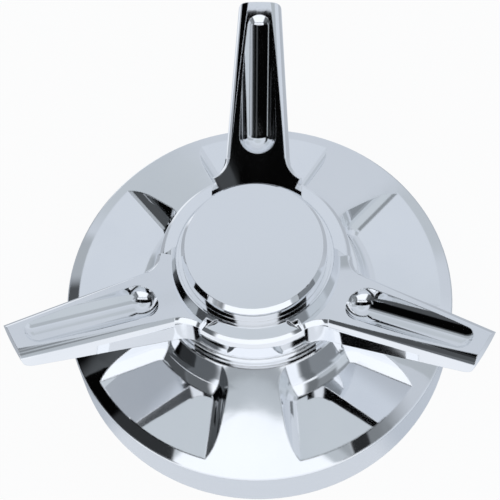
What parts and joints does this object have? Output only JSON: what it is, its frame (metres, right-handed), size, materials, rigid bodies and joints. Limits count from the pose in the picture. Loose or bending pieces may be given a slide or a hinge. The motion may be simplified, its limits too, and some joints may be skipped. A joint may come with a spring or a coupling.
{
  "type": "knock-off spinner",
  "caption": "Bolt-on alloy wheel cap: a pocketed conical cap with a knock-off style spinner whose raised, fluted arms spread from a round hub under a bevelled centre cap.",
  "frame": {"origin": "on the wheel's axis, in the plane of the cap's back rim, where it seats on the wheel", "axes": "+Z along the wheel's axis, out of the wheel towards the centre cap; +Y in the plane of one spinner arm, which points that way"},
  "size_m": [0.1876, 0.1861, 0.096],
  "materials": {
    "base_alloy": "mirror polished",
    "spinner_alloy": "mirror polished",
    "cap_alloy": "mirror polished, fine-turned face",
    "seal_rubber": "moulded, matt",
    "screw_steel": "plain stainless",
    "washer_steel": "plain stainless"
  },
  "bodies": {
    "root": {"base": "base_alloy", "spinner": "spinner_alloy", "centre_cap": "cap_alloy", "cap_o_ring": "seal_rubber", "centre_screw": "screw_steel", "centre_washer": "washer_steel", "spinner_screw_1": "screw_steel", "spinner_screw_2": "screw_steel", "spinner_screw_3": "screw_steel", "spinner_washer_1": "washer_steel", "spinner_washer_2": "washer_steel", "spinner_washer_3": "washer_steel"}
  },
  "joints": []
}
